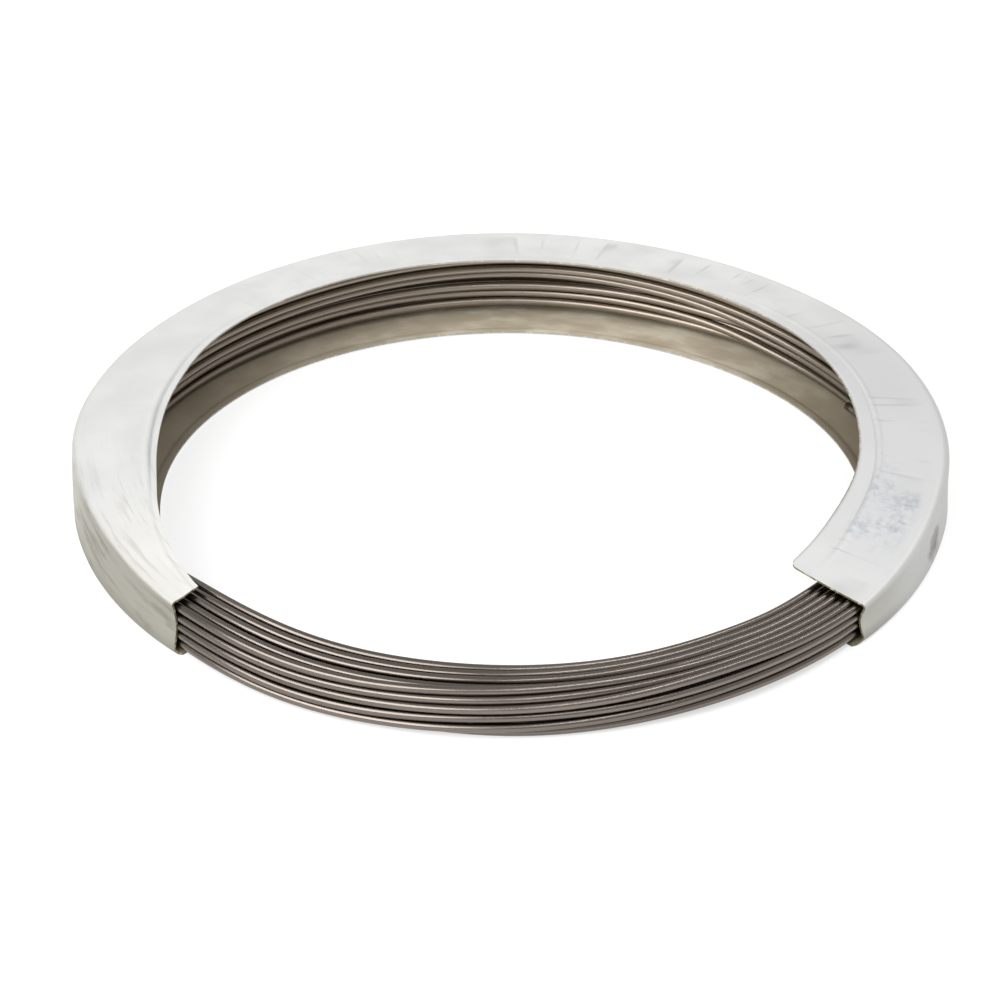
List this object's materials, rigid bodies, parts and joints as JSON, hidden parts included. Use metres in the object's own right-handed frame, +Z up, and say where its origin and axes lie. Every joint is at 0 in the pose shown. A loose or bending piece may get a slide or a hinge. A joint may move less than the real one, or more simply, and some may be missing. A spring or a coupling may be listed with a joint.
{
  "type": "coil of spring wire",
  "caption": "Coil of round spring wire lying flat inside an open ring of thin sheet-metal channel, whose front gap shows the turns and lets the wire be drawn off.",
  "frame": {"origin": "Centre of the ring on the plane it lies on.", "axes": "+Z is up along the ring's axis, -Y points to the gap in the channel, +X to the right when facing the gap."},
  "size_m": [0.216, 0.2151, 0.0214],
  "materials": {
    "tinplate": "bright satin tinplate with faint cross scuffs",
    "spring_wire": "grey-brown drawn wire, satin"
  },
  "bodies": {
    "root": {"channel_ring": "tinplate", "wire_coil": "spring_wire"}
  },
  "joints": []
}
